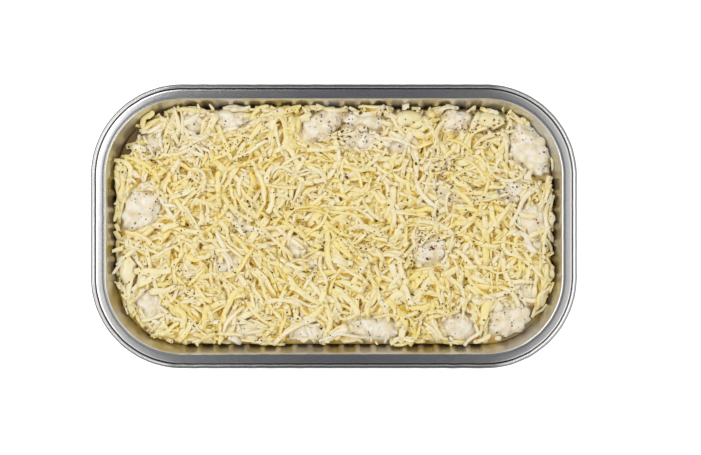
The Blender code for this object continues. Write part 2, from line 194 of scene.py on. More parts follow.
def add_bump(tree, shader, height, distance):
    """Feeds a height through a Bump node into the shader's normal."""
    bump = tree.nodes.new("ShaderNodeBump")
    bump.inputs["Distance"].default_value = distance
    feed(tree, height, bump.inputs["Height"])
    feed(tree, bump.outputs["Normal"], shader.inputs["Normal"])


def wall_inset(height):
    """How far the plain wall stands inside the rim's edge: the band's inset plus the lean
    times the drop below the band."""
    return BAND_INSET + WALL_LEAN * (BAND_HEIGHT - height)


def walk_round():
    """Stations round the tray: the core point, the outward direction, the place within a
    flute from 0 to 1 (or -1 at a corner), and the distance walked along the outer edge.
    A point at an inset is the core point plus (corner radius - inset) x direction."""
    core, outward, flute, walked = [], [], [], []
    centres = ((CORE_X, CORE_Y), (-CORE_X, CORE_Y), (-CORE_X, -CORE_Y), (CORE_X, -CORE_Y))
    start = 0.0
    for corner, centre in enumerate(centres):
        turn = np.linspace(0, 1, POINTS_PER_CORNER, endpoint=False)
        angle = (corner + turn) * np.pi / 2
        core.append(np.tile(centre, (POINTS_PER_CORNER, 1)))
        outward.append(np.stack([np.cos(angle), np.sin(angle)], axis=1))
        flute.append(np.full(POINTS_PER_CORNER, -1.0))
        walked.append(start + turn * np.pi / 2 * CORNER_RADIUS)
        start += np.pi / 2 * CORNER_RADIUS
        following = np.array(centres[(corner + 1) % 4])
        flutes = FLUTES_SHORT_SIDE if corner % 2 else FLUTES_LONG_SIDE
        share = np.linspace(0, 1, flutes * POINTS_PER_FLUTE, endpoint=False)
        core.append(np.array(centre) + share[:, None] * (following - centre))
        square = (corner + 1) * np.pi / 2
        outward.append(np.tile((math.cos(square), math.sin(square)), (len(share), 1)))
        flute.append((share * flutes) % 1.0)
        length = np.linalg.norm(following - centre)
        walked.append(start + share * length)
        start += length
    return [np.concatenate(part) for part in (core, outward, flute, walked)]


def foil_profile():
    """Insets and heights of the foil's middle from the panel's edge to the lip: listed points
    round its bends and evenly spaced points up the wall."""
    middle = FOIL / 2
    foot = wall_inset(FOOT_HEIGHT)
    wall = [(wall_inset(z), z) for z in np.linspace(FOOT_HEIGHT + 1.2 * MM, 32.6 * MM, 9)]
    arches = [(wall_inset(z), z) for z in np.linspace(33.4, 37.4, 10) * MM]
    rim = np.array((
        (7.42, 38.1), (7.27, 38.7), (7.12, 39.1), (6.93, 39.36), (6.76, 39.47), (6.6, 39.5),
        (6.42, 39.485), (6.25, 39.475), (5.9, 39.5), (5.2, 39.485), (4.3, 39.45), (3.5, 39.41),
        (2.9, 39.38), (2.7, 39.33), (2.58, 39.1), (2.45, 38.92), (2.2, 38.9),
        (2.06, 39.1), (1.98, 39.5), (1.86, 39.95), (1.62, 40.32), (1.28, 40.47), (0.86, 40.38),
        (0.52, 40.05), (0.3, 39.6), (0.23, 39.1), (0.3, 38.6), (0.48, 38.2),
    )) * MM
    panel = np.array(((29.6, 1.0), (28.6, 1.0), (28.0, 0.72), (27.4, 0.2), (26.8, 0.0))) * MM
    heel = np.array(((2.4, 0.0), (1.5, 0.12), (0.8, 0.5), (0.3, 1.2))) * MM
    base = [panel + (0.0, middle), heel + (foot, middle), [(foot, FOOT_HEIGHT)]]
    return np.concatenate([*base, wall, arches, rim])


def flute_recess(flute, height):
    """How far the foil stands outwards of the plain wall: on a straight side a broad channel
    with a round-arched top, between narrow ribs, and nothing on the corners."""
    across = np.abs(2 * flute - 1)
    channel = ease((CHANNEL_SHARE - across) / 0.3)
    arch = ARCH_TOP - 2.2 * MM * np.clip(across / CHANNEL_SHARE, 0, 1) ** 3
    under_arch = ease((arch - height) / (1.3 * MM))
    above_foot = ease((height - 0.5 * MM) / (3.0 * MM))
    return np.where(flute < 0, 0.0, channel * under_arch * above_foot)


def corner_creases(outward, height):
    """The faint upright creases of a pressed corner: plane waves of the direction alone,
    strongest half way up the wall and gone at the foot and at the rim."""
    swell = ripples(outward * 10, 1.1, 5) * 0.16 + ripples(outward * 10, 3.0, 6) * 0.14
    fade = ease((height - 2 * MM) / (12 * MM)) * ease((39.3 * MM - height) / (9 * MM))
    return swell * MM * fade


def make_tray_shape():
    """The foil as a grid: the profile carried round the walk, each point moved along its
    direction by its inset, the flute's recess and the creases. With it come four values for
    each point: the pleats passed so far, how strong they are, how much painted shade it takes
    (shade in the groove and a dark reflection on the bead's upper outer face), and how far the
    foil there was drawn."""
    core, outward, flute, walked = walk_round()
    profile = foil_profile()
    inset = profile[:, 0][:, None]
    height = np.repeat(profile[:, 1][:, None], len(flute), axis=1)
    corner = ease((np.abs(outward).min(1) - 0.02) / 0.25)[None, :]
    recess = FLUTE_DEPTH * flute_recess(flute[None, :], height)
    reach = CORNER_RADIUS - inset + recess + corner_creases(outward, height) * corner
    wander = 0.035 * MM * ripples(walked[:, None] * 1000, 9.0, 8)[None, :]
    reach = reach + wander * (height > 39 * MM)
    lip = 0.05 * MM * ripples(walked[:, None] * 1000, 3.2, 9)[None, :] * corner
    height = height + lip * (inset < 2.0 * MM)
    flat = core[None] + reach[..., None] * outward[None]
    skin = np.concatenate([flat, height[..., None]], axis=2)
    panel = [skin[0] * (share, share, 1.0) for share in (0.35, 0.7)]
    skin = np.concatenate([np.array(panel), skin])
    pleats = corner * ease((BEAD_INSET - inset) / (0.4 * MM))
    # Painted shade: dark in the groove inside the bead, and a painted dark reflection on the
    # bead's upper outer face.
    folds = np.maximum(
        ease(1.5 - np.abs(inset - GROOVE_INSET) / (0.36 * MM)),
        ease((1.05 * MM - inset) / (0.25 * MM)) * ease((height - 39.5 * MM) / (0.3 * MM)),
    )
    drawn = np.broadcast_to(ease((inset - 6.7 * MM) / (0.6 * MM)), height.shape)
    on_panel = np.zeros((len(panel), len(flute)))
    pleats = np.concatenate([on_panel, pleats])
    folds = np.concatenate([on_panel, folds])
    drawn = np.concatenate([on_panel + 1.0, drawn])
    walk = np.repeat(walked[None, :] / PLEAT_PITCH, len(skin), axis=0)
    faces = grid_faces(*skin.shape[:2], wrap_columns=True).tolist()
    around = np.arange(len(flute))
    centre = np.full(len(flute), skin.shape[0] * skin.shape[1])
    faces += np.stack([centre, np.roll(around, -1), around], axis=1).tolist()
    points = np.concatenate([skin.reshape(-1, 3), [(0.0, 0.0, profile[0, 1])]])
    return points, faces, [np.append(part, 0.0) for part in (walk, pleats, folds, drawn)]


def foil_finish():
    """Bare satin aluminium: bright and slightly uneven, with rolling streaks along the strip
    that it was cut from, fine pleats where the lip was gathered, and duller drawn walls. The
    groove is darkened with painted shade, and the bead's upper outer face with a painted dark
    reflection."""
    made, tree, shader = new_finish("satin_foil", FOIL_BRIGHT, 0.27, Metallic=1.0)
    place = tree.nodes.new("ShaderNodeTexCoord").outputs["Object"]
    stretch = tree.nodes.new("ShaderNodeMapping")
    stretch.inputs["Scale"].default_value = STREAK_CELLS
    feed(tree, place, stretch.inputs["Vector"])
    streaks = noise(tree, stretch.outputs["Vector"], 1.0)
    drawn = read_value(tree, "drawn_matt")
    rough = map_range(tree, streaks, (0.0, 1.0), (0.15, 0.2), "LINEAR")
    rough = compute(tree, "MULTIPLY_ADD", drawn, 0.2, rough)
    feed(tree, rough, shader.inputs["Roughness"])
    colour = mix_colours(tree, drawn, FOIL_BRIGHT, FOIL_DRAWN)
    # Painted shade and reflection: the rim's attribute mixes in the dark colour.
    colour = mix_colours(tree, read_value(tree, "fold_shade"), colour, FOIL_PAINTED_SHADE)
    feed(tree, colour, shader.inputs["Base Color"])
    turns = compute(tree, "MULTIPLY", read_value(tree, "pleat_walk"), 2 * math.pi)
    wave = compute(tree, "SINE", turns)
    pleats = compute(tree, "MULTIPLY", wave, read_value(tree, "pleat_strength"))
    dents = compute(tree, "MULTIPLY", noise(tree, place, DENT_CELLS, 3.0), 0.4)
    add_bump(tree, shader, compute(tree, "MULTIPLY_ADD", pleats, 0.9, dents), PLEAT_RELIEF)
    return made


points, faces, (pleat_walk, pleat_strength, folds, drawn) = make_tray_shape()
foil_tray = piece_from(
    "pressed_foil_tray", points, faces, foil_finish(), pleat_walk=pleat_walk,
    pleat_strength=pleat_strength, fold_shade=folds, drawn_matt=drawn,
)
thickness = foil_tray.modifiers.new("foil", "SOLIDIFY")
thickness.thickness = FOIL
thickness.offset = 0.0
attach(foil_tray, "root")
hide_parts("foil_tray")


# The cream sauce that fills the tray below the cheese: one thick pour, golden where the
# cheese has melted into it. Its solid stays as it is and gets the sauce's finish.


def linear(red, green, blue):
    """A colour as seen, 0 to 255, as the light that gives it: the sRGB curve undone."""
    seen = np.array((red, green, blue)) / 255.0
    light = np.where(seen < 0.04045, seen / 12.92, ((seen + 0.055) / 1.055) ** 2.4)
    return (*light.tolist(), 1.0)


def moist_mottle():
    """A node group: two colours mixed in soft patches, and a fine uneven height, both from
    noise on the object's own coordinates."""
    group = bpy.data.node_groups.new("moist_mottle", "ShaderNodeTree")
    sockets = (
        ("Pale", "INPUT", "Color"), ("Deep", "INPUT", "Color"),
        ("Patch scale", "INPUT", "Float"), ("Fine scale", "INPUT", "Float"),
        ("Colour", "OUTPUT", "Color"), ("Height", "OUTPUT", "Float"),
    )
    for title, side, kind in sockets:
        group.interface.new_socket(title, in_out=side, socket_type="NodeSocket" + kind)
    given = group.nodes.new("NodeGroupInput").outputs
    result = group.nodes.new("NodeGroupOutput").inputs
    place = group.nodes.new("ShaderNodeTexCoord").outputs["Object"]
    patches = noise(group, place, given["Patch scale"], 3.0)
    share = map_range(group, patches, (0.36, 0.66), (0.0, 1.0), "SMOOTHSTEP")
    feed(group, mix_colours(group, share, given["Pale"], given["Deep"]), result["Colour"])
    feed(group, noise(group, place, given["Fine scale"]), result["Height"])
    return group


MOTTLE = moist_mottle()


def add_mottle(tree, pale, deep, patch_size, fine_size):
    """The colour and height of the mottle group, placed in a material with its own colours
    and its patch and grain sizes in metres."""
    node = tree.nodes.new("ShaderNodeGroup")
    node.node_tree = MOTTLE
    node.inputs["Pale"].default_value = pale
    node.inputs["Deep"].default_value = deep
    node.inputs["Patch scale"].default_value = 1.0 / patch_size
    node.inputs["Fine scale"].default_value = 1.0 / fine_size
    return node.outputs["Colour"], node.outputs["Height"]


def moist_finish(name, pale, deep, sizes, relief, roughness, layers=(), **settings):
    """A moist food: light passes a little way into it. Its colour is the mottle of pale and
    deep, with each layer's colour mixed in by the mesh attribute that the layer names, and
    the mottle's fine height is its relief."""
    made, tree, shader = new_finish(name, pale, roughness, **settings)
    colour, height = add_mottle(tree, pale, deep, *sizes)
    for title, covering in layers:
        colour = mix_colours(tree, read_value(tree, title), colour, covering)
    feed(tree, colour, shader.inputs["Base Color"])
    add_bump(tree, shader, height, relief)
    return made


SAUCE_PALE = linear(226, 190, 112)
SAUCE_DEEP = linear(205, 152, 62)
SAUCE = moist_finish(
    "golden_sauce", SAUCE_PALE, SAUCE_DEEP, (0.005, 0.0012), 0.25 * MM, 0.35,
    Subsurface_Weight=0.25, Subsurface_Scale=0.002, Subsurface_Radius=(1.0, 0.6, 0.3),
)
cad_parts["cream_sauce"].data.materials.clear()
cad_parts["cream_sauce"].data.materials.append(SAUCE)


# The diced chicken: each piece a rough lump from a knife, coated in thick cream sauce that
# rounds its corners and gathers in folds. Its base form is the solid's: a squared-off ball
# with the row's half length and width in mm, turned about Z, with its top at the height.
CHICKEN = (
    (-92.6, 7.2, 9.4, 8.8, 65.0, 34.5),
    (-87.6, -37.0, 8.0, 6.4, -55.0, 34.4),
    (-86.6, 39.4, 6.0, 5.4, 40.0, 34.0),
    (-66.4, 49.4, 6.6, 4.8, 10.0, 34.1),
    (-48.6, 51.0, 10.2, 4.8, 2.0, 34.4),
    (-5.6, 48.8, 10.2, 6.0, 38.0, 34.9),
    (14.4, 50.2, 9.0, 3.8, -4.0, 34.0),
    (13.0, 40.6, 8.0, 4.4, -8.0, 34.2),
    (57.6, 49.8, 7.8, 5.6, -6.0, 34.6),
    (93.2, 36.8, 12.8, 8.2, -56.0, 34.8),
    (84.6, 17.2, 6.6, 6.0, 20.0, 34.5),
    (95.2, 2.6, 8.0, 6.6, -62.0, 34.6),
    (96.8, -10.0, 3.6, 3.0, 10.0, 33.8),
    (82.4, -45.0, 11.2, 6.8, 12.0, 34.5),
    (91.2, -31.2, 4.4, 3.6, -30.0, 34.0),
    (58.6, -47.6, 7.8, 6.2, -20.0, 34.6),
    (17.6, -48.6, 13.2, 4.9, -7.0, 34.4),
    (-13.0, -49.8, 7.6, 4.4, 6.0, 33.8),
    (-42.0, -49.4, 7.6, 4.4, 14.0, 33.7),
    (46.0, -12.0, 8.6, 5.8, 16.0, 34.2),
    (-19.6, -9.6, 6.0, 5.0, -26.0, 33.8),
    (-10.2, -16.6, 3.6, 3.0, 30.0, 33.4),
    (-42.8, 1.6, 6.2, 5.2, 80.0, 33.8),
    (-50.6, -18.0, 6.0, 4.8, 12.0, 33.7),
    (-10.5, 23.4, 3.8, 3.0, 15.0, 33.4),
    (30.0, 36.4, 5.0, 4.4, 60.0, 33.8),
    (52.0, 29.4, 4.0, 3.8, 0.0, 33.6),
    (52.0, 14.8, 7.0, 5.0, -15.0, 33.9),
)
CHICKEN_DEPTH = 12.5 * MM
CHICKEN_SQUARENESS = 0.82
CHICKEN_GAP = 0.5 * MM
COATING_GROWTH = 1.05
CREAM_PALE = linear(247, 240, 225)
CREAM_DEEP = linear(236, 221, 186)
CREAM = moist_finish(
    "creamed_chicken", CREAM_PALE, CREAM_DEEP, (0.0042, 0.0011), 0.22 * MM, 0.36,
    Subsurface_Weight=0.3, Subsurface_Scale=0.003, Subsurface_Radius=(1.0, 0.7, 0.45),
)


def inside_wall(points, spare):
    """Points outside the tray's inner wall are moved straight in until they are a spare
    distance inside it: their offset from the core rectangle is shortened to what fits."""
    flat = points[..., :2]
    beyond = np.sign(flat) * np.maximum(np.abs(flat) - (CORE_X, CORE_Y), 0)
    reach = np.hypot(beyond[..., 0], beyond[..., 1]) + 1e-9
    room = CORNER_RADIUS - wall_inset(points[..., 2]) - FOIL / 2 - spare
    moved = points.copy()
    moved[..., :2] = flat - beyond * (1 - np.minimum(1.0, room / reach))[..., None]
    return moved


def turned_by(degrees):
    """The matrix that turns rows of plan points anticlockwise."""
    angle = math.radians(degrees)
    return np.array(((math.cos(angle), math.sin(angle)), (-math.sin(angle), math.cos(angle))))


def lump_of_chicken(row, seed, around=84, down=46):
    """A squared-off ball: each part of the unit direction is raised to the squareness, then
    stretched to the row's size and the coating's growth. It is pushed out by smooth lumps
    and in by folds and creases, which are the noise's magnitude."""
    x, y, length, width, turn, top = row
    lon = np.linspace(0, 2 * np.pi, around, endpoint=False)[None, :]
    lat = np.linspace(1e-3, np.pi - 1e-3, down)[:, None]
    unit = np.stack([
        np.sin(lat) * np.cos(lon), np.sin(lat) * np.sin(lon), np.cos(lat) * np.ones_like(lon),
    ], axis=-1)
    square = np.sign(unit) * np.abs(unit) ** CHICKEN_SQUARENESS
    rise = CHICKEN_DEPTH / MM / 2
    half = np.array((length * COATING_GROWTH, width * COATING_GROWTH, rise))
    body = square * half
    lumps = 0.1 * ripples(body, 9.0, seed) + 0.085 * ripples(body, 4.6, seed + 100)
    folds = 0.09 * np.abs(ripples(body, 5.6, seed + 200)) ** 0.8
    creases = 0.04 * np.abs(ripples(body, 3.0, seed + 300)) ** 0.8
    relief = 0.07 - folds - creases + 0.013 * ripples(body, 1.6, seed + 400)
    body = body * (1.0 + lumps + relief)[..., None]
    body[..., 2] *= rise / body[..., 2].max()
    body[..., :2] = body[..., :2] @ turned_by(turn) + (x, y)
    body[..., 2] += top - rise
    return inside_wall(body * MM, CHICKEN_GAP)


topping_shapes = []
for number, row in enumerate(CHICKEN, start=1):
    lump = lump_of_chicken(row, number)
    topping_shapes.append(lump)
    quads = grid_faces(*lump.shape[:2], wrap_columns=True)[:, ::-1].tolist()
    last_ring = (lump.shape[0] - 1) * lump.shape[1]
    poles = [list(range(lump.shape[1])), list(range(last_ring, last_ring + lump.shape[1]))[::-1]]
    chicken = piece_from(f"creamed_chicken_{number:02d}", lump, quads + poles, CREAM)
    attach(chicken, "root")
    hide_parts(f"chicken_piece_{number:02d}")


# The macaroni: short bent tubes of cooked pasta, tan and slightly see-through. Each row is
# the middle of the bend in mm and the turn in degrees, bent away from its turn.
MACARONI = ((35.4, 51.4, 30.2, 90.0), (74.4, 50.6, 30.2, 86.0), (-98.6, -20.8, 30.0, 180.0))
MACARONI_BORE = 2.7
MACARONI_WALL = 1.3
MACARONI_BEND = 6.4
MACARONI_SWEEP = 100.0
PASTA_PALE = linear(253, 241, 202)
PASTA_DEEP = linear(248, 228, 172)
PASTA = moist_finish(
    "cooked_macaroni", PASTA_PALE, PASTA_DEEP, (0.004, 0.0009), 0.1 * MM, 0.32,
    Subsurface_Weight=0.3, Subsurface_Scale=0.003, Subsurface_Radius=(1.0, 0.6, 0.3),
)


def elbow_of_pasta(row, seed, along=26, around=40):
    """A closed bent tube: a ring of radius r about an arc. The profile runs along the
    outside, over a rounded lip, back along the bore and over the other lip."""
    x, y, z, turn = row
    half = math.radians(MACARONI_SWEEP / 2)
    run = np.linspace(-half, half, along)
    lip = np.linspace(-np.pi / 2, np.pi / 2, 7)[1:-1]
    outer, bore = MACARONI_BORE + MACARONI_WALL, MACARONI_BORE
    middle = (outer + bore) / 2
    round_over = (MACARONI_WALL / 2) * np.cos(lip) * 0.5 / MACARONI_BEND
    radius = np.concatenate([
        np.full(along, outer), middle - (MACARONI_WALL / 2) * np.sin(lip),
        np.full(along, bore), middle + (MACARONI_WALL / 2) * np.sin(lip),
    ])
    arc = np.concatenate([run, half + round_over, run[::-1], -half - round_over])
    spin = np.linspace(0, 2 * np.pi, around, endpoint=False)
    out = MACARONI_BEND + radius[:, None] * np.cos(spin)
    rise = radius[:, None] * np.sin(spin)
    body = np.stack([out * np.cos(arc)[:, None], out * np.sin(arc)[:, None], rise], axis=-1)
    swell = 1.0 + 0.03 * ripples(body, 7.0, seed)[..., None]
    body = (body - (MACARONI_BEND, 0, 0)) * swell
    body[..., :2] = body[..., :2] @ turned_by(turn)
    return (body + (x, y, z)) * MM


for number, row in enumerate(MACARONI, start=1):
    elbow = elbow_of_pasta(row, 50 + number)
    topping_shapes.append(elbow)
    quads = grid_faces(*elbow.shape[:2], wrap_rows=True, wrap_columns=True)
    pasta = piece_from(f"cooked_macaroni_{number}", elbow, quads.tolist(), PASTA)
    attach(pasta, "root")
    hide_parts(f"macaroni_{number}")


# The bed under the grated cheese: sauce that has risen between the strands, with melted
# cheese in it. It fills the tray's outline, swells in soft mounds and sinks at the wall.
# Its mounds carry the strands, so its mesh follows once they lie on it.
BED_TOP = 29.5 * MM
BED_BOTTOM = 27.8 * MM
BED_INSET = 11.1 * MM
BED_CELL = 0.8 * MM
BED_GAP = 0.3 * MM
BED_LIMIT = 35.0 * MM
BED_BELOW_PILE = 0.85 * MM
BED_PALE = linear(250, 214, 70)
BED_DEEP = linear(222, 178, 34)
# The brown painted as shade in the gap at the wall and in the hollows.
BED_PAINTED_SHADE = linear(126, 98, 44)
BED = moist_finish(
    "cheese_bed", BED_PALE, BED_DEEP, (0.0036, 0.0009), 0.2 * MM, 0.3,
    (("cream_share", CREAM_DEEP), ("dried_edge", BED_PAINTED_SHADE)),
    Subsurface_Weight=0.25, Subsurface_Scale=0.002, Subsurface_Radius=(1.0, 0.6, 0.25),
)


def inset_at(x, y):
    """How far a point in plan lies inside the rim's edge: the corner radius less its
    distance from the core rectangle."""
    out = np.hypot(np.maximum(np.abs(x) - CORE_X, 0), np.maximum(np.abs(y) - CORE_Y, 0))
    return CORNER_RADIUS - out


def fill_oblong(inset, cell):
    """A grid that fills the rounded outline: straight inside, and in each corner square the
    point (s, t) goes to (s sqrt(1 - t^2/2), t sqrt(1 - s^2/2)), which makes it a quarter disc."""
    radius = CORNER_RADIUS - inset
    across = np.linspace(-CORE_X - radius, CORE_X + radius, round(2 * (CORE_X + radius) / cell))
    up = np.linspace(-CORE_Y - radius, CORE_Y + radius, round(2 * (CORE_Y + radius) / cell))
    x, y = np.meshgrid(across, up)
    s = np.maximum(np.abs(x) - CORE_X, 0) / radius
    t = np.maximum(np.abs(y) - CORE_Y, 0) / radius
    x = np.where(s > 0, np.sign(x) * (CORE_X + radius * s * np.sqrt(1 - t * t / 2)), x)
    y = np.where(t > 0, np.sign(y) * (CORE_Y + radius * t * np.sqrt(1 - s * s / 2)), y)
    return x, y


def bed_height(x, y):
    """The bed's top before the strands: noise of three sizes on its mean height, a little
    lower near the wall."""
    place = np.stack([x, y], axis=-1) * 1000
    mounds = 0.9 * ripples(place, 28.0, 21) + 0.6 * ripples(place, 9.0, 22)
    near_wall = ease((19.0 * MM - inset_at(x, y)) / (8.0 * MM))
    height = BED_TOP + mounds * MM + 0.22 * MM * ripples(place, 2.4, 23) - 0.3 * MM * near_wall
    return np.maximum(height, BED_BOTTOM + 0.3 * MM)


# The grated cheese: thousands of pale flat strands from a coarse grater, dropped one by one.
# Each strand bends a little, rolls a little about its length, and comes to rest on what
# already lies there, bridging small gaps, so the pile builds up as a real one does.
# Each kind's name and count, the range of its length, width and thickness in mm, the
# stations along a strand and the places that it tries.
KINDS = (
    ("cheese_underlayer", 900, (6.0, 15.0), (1.6, 2.7), (0.4, 0.65), 6, 4),
    ("short_cheese_strands", 1400, (4.0, 13.0), (1.3, 2.4), (0.4, 0.65), 6, 4),
    ("long_cheese_strands", 1550, (9.0, 22.0), (1.5, 2.6), (0.5, 0.75), 10, 4),
    ("cheese_crumbs", 500, (1.6, 5.0), (1.0, 2.0), (0.35, 0.6), 4, 3),
)
CHEESE_PALE = linear(251, 240, 202)
CHEESE_DEEP = linear(251, 231, 148)
# The golden colour painted onto the cheese as shade in the pile's depths and as glow on strands'
# edges.
CHEESE_PAINTED_SHADE = linear(246, 213, 50)
# Painted shade and glow: the least share of the painted golden shade at each corner of a
# strand's six-sided ring, more on its edges and its underside than on its top.
RING_PAINTED_SHADE = np.array((0.6, 0.0, 0.0, 0.6, 0.8, 0.8))
# A strand's line: how far its heading strays from the flow, the share that lies any way,
# how much it bends, waves and sags, and its gap to the wall.
FLOW_SPREAD = 0.36
STRAY_SHARE = 0.17
STRAND_BEND = 0.62
STRAND_WAVE = 0.24
SAG = 0.34 * MM
STRAND_GAP = 0.25 * MM
# Where it may lie: climbers come nearer to the wall than others, in mm from the rim's edge,
# loose ones lie on chicken too, and each cover is the most of its kind below a strand.
DROPPED_WITHIN = ((-104, -57), (104, 57))
CLIMBER_SHARE = 0.2
CLIMBER_INSET = 8.9
STRAND_INSET = 9.8
LOOSE_SHARE = 0.3
LOOSE_COVER = 1.1
CHICKEN_COVER = 0.4
PASTA_COVER = 0.34
HOLLOW_COVER = 0.16
PILE_LIMIT = 35.6 * MM
# What its place costs besides the height in metres: on chicken, for pointing at the wall,
# and, taken off, along the edge. NO_PLACE is far above every other cost.
CHICKEN_COST = 1.0 * MM
POINTING_COST = 1.8 * MM
EDGE_GAIN = 1.6 * MM
NO_PLACE = 1.0
# The plan's cells, and the height above which chicken stands out of the pile. The pieces
# named stay uncovered, so their cells count more.
CELL = 0.4 * MM
PLAN_LOW = np.array((-116.0, -68.0)) * MM
PLAN_CELLS = (int(136.0 * MM / CELL), int(232.0 * MM / CELL))
PROUD_OF_PILE = 31.6 * MM
UNCOVERED = (1, 5, 6, 7, 9, 10, 14, 16, 17, 20)


def cell_of(x, y):
    """The row and column of the plan's cell at a place."""
    column = np.clip(((x - PLAN_LOW[0]) / CELL).astype(int), 0, PLAN_CELLS[1] - 1)
    row = np.clip(((y - PLAN_LOW[1]) / CELL).astype(int), 0, PLAN_CELLS[0] - 1)
    return row, column


# For each cell, the height of what lies there, how bare its chicken stays, and whether it
# holds pasta.
plan_y, plan_x = np.mgrid[0:PLAN_CELLS[0], 0:PLAN_CELLS[1]] * CELL
plan_x = plan_x + PLAN_LOW[0]
plan_y = plan_y + PLAN_LOW[1]
plan_inset = inset_at(plan_x, plan_y)
wall_face = BAND_HEIGHT - (plan_inset - BAND_INSET - 0.6 * MM) / WALL_LEAN
surface = np.where(plan_inset > BED_INSET, bed_height(plan_x, plan_y), 0.0)
surface = np.maximum(surface, wall_face)
bare = np.zeros(PLAN_CELLS)
pasta_cells = np.zeros(PLAN_CELLS)
for number, shape in enumerate(topping_shapes, start=1):
    for _ in range(2):
        wide = np.zeros((2 * shape.shape[0] - 1, shape.shape[1], 3))
        wide[::2] = shape
        wide[1::2] = (shape[1:] + shape[:-1]) / 2
        shape = np.stack([wide, (wide + np.roll(wide, -1, axis=1)) / 2], axis=2)
        shape = shape.reshape(wide.shape[0], -1, 3)
    row, column = cell_of(shape[..., 0], shape[..., 1])
    np.maximum.at(surface, (row, column), shape[..., 2])
    proud = shape[..., 2] > PROUD_OF_PILE
    bare[row[proud], column[proud]] = 2.5 if number in UNCOVERED else 1.0
    if number > len(CHICKEN):
        pasta_cells[row, column] = 1.0


def local_mean(plan, reach):
    """Each cell's mean over the square of cells within a reach, by running sums."""
    sums = np.pad(np.pad(plan, reach, mode="edge"), ((1, 0), (1, 0)))
    sums = sums.cumsum(axis=0).cumsum(axis=1)
    span = 2 * reach + 1
    total = sums[span:, span:] - sums[:-span, span:] - sums[span:, :-span] + sums[:-span, :-span]
    return total / span ** 2


# Places in mm: corners that the cheese doesn't quite fill, with a reach and a size; patches
# where cream lies over it, with half lengths; and deep hollows in it, with a reach.
CORNERS_SET_BACK = (
    (-88.0, 45.0, 20.0, 1.6), (-96.0, 41.0, 13.0, 3.4), (98.0, -50.0, 24.0, 4.2),
    (-96.0, -46.0, 14.0, 0.8),
)
CREAM_PATCHES = (
    (85.0, -49.5, 7.5, 3.6), (63.0, -50.0, 7.0, 3.4), (-72.0, 41.0, 12.0, 6.0),
    (90.0, 40.0, 9.0, 7.0),
)
HOLLOWS = (
    (1.5, 45.9, 1.9), (2.0, 49.7, 1.5), (-57.9, 49.7, 1.5), (-76.3, -31.0, 1.4),
    (42.1, 36.5, 1.7), (2.0, 29.9, 1.6), (10.9, -52.2, 1.4), (10.0, -6.0, 1.5),
    (52.5, -17.3, 1.5), (-38.6, 1.1, 1.4), (-84.4, -26.8, 1.3), (41.1, -7.9, 1.5),
    (-38.6, 35.5, 1.4), (51.5, 25.6, 1.3), (-3.7, 39.3, 1.4), (39.7, 20.4, 1.2),
    (-21.1, 9.6, 1.3), (93.5, -40.0, 1.6), (67.6, 45.4, 1.2), (65.7, 5.8, 1.2),
    (-51.8, -5.0, 1.2), (57.2, 31.3, 1.2), (-63.1, -49.9, 1.2), (98.7, 20.9, 1.6),
)


def set_back(x, y):
    """How much further than elsewhere the cheese keeps off the wall: a bump of the given
    reach and size round each corner that the filling doesn't quite reach."""
    total = np.zeros(np.shape(x))
    for mid_x, mid_y, reach, size in CORNERS_SET_BACK:
        away = np.hypot(x - mid_x * MM, y - mid_y * MM) / (reach * MM)
        total = total + size * MM * ease(1.6 - 1.6 * away)
    return total


creamy = 2.4 * local_mean(local_mean(np.minimum(bare, 1.0), 7), 7)
for mid_x, mid_y, half_x, half_y in CREAM_PATCHES:
    away = np.hypot((plan_x / MM - mid_x) / half_x, (plan_y / MM - mid_y) / half_y)
    creamy += 0.9 * ease(2.0 - 1.5 * away)
creamy = np.clip(creamy, 0.0, 1.0)
hollow = np.zeros(PLAN_CELLS)
for mid_x, mid_y, reach in HOLLOWS:
    away = np.hypot(plan_x / MM - mid_x, plan_y / MM - mid_y) / reach
    hollow = np.maximum(hollow, ease(1.8 - 1.3 * away))


def draw_paths(draw, count, length, stations, tries):
    """Middle lines in plan, a few tries for each strand, their sideways directions, headings
    and lengths. A line heads along a smooth flow, or any way for a stray, bends along its
    length, waves by a sine, and its equal steps are summed up round a random place."""
    middle = draw.uniform(*DROPPED_WITHIN, (count, tries, 2)) * MM
    flow = ripples(middle * 1000, 24.0, 41) * 1.9 + draw.normal(0, FLOW_SPREAD, (count, tries))
    stray = draw.random((count, tries)) < STRAY_SHARE
    heading = np.where(stray, draw.uniform(0, np.pi, (count, tries)), flow)[..., None]
    longs = draw.uniform(*length, (count, 1, 1)) * draw.uniform(0.75, 1.25, (count, 1, 1)) * MM
    bend = draw.normal(0, 1.0, (count, 1, 1)) * STRAND_BEND / (14 * MM)
    wave = draw.normal(0, STRAND_WAVE, (count, 1, 1))
    share = np.linspace(-0.5, 0.5, stations)
    phase = draw.uniform(0, 2 * np.pi, (count, 1, 1))
    facing = heading + bend * share * longs + wave * np.sin(2 * np.pi * share * 1.3 + phase)
    ahead = np.stack([np.cos(facing), np.sin(facing)], axis=-1)
    path = np.cumsum(ahead, axis=2) * (longs / (stations - 1))[..., None]
    path += middle[:, :, None, :] - path.mean(axis=2, keepdims=True)
    side = np.stack([-np.sin(facing), np.cos(facing)], axis=-1)
    return path, side, heading[..., 0], longs.ravel()


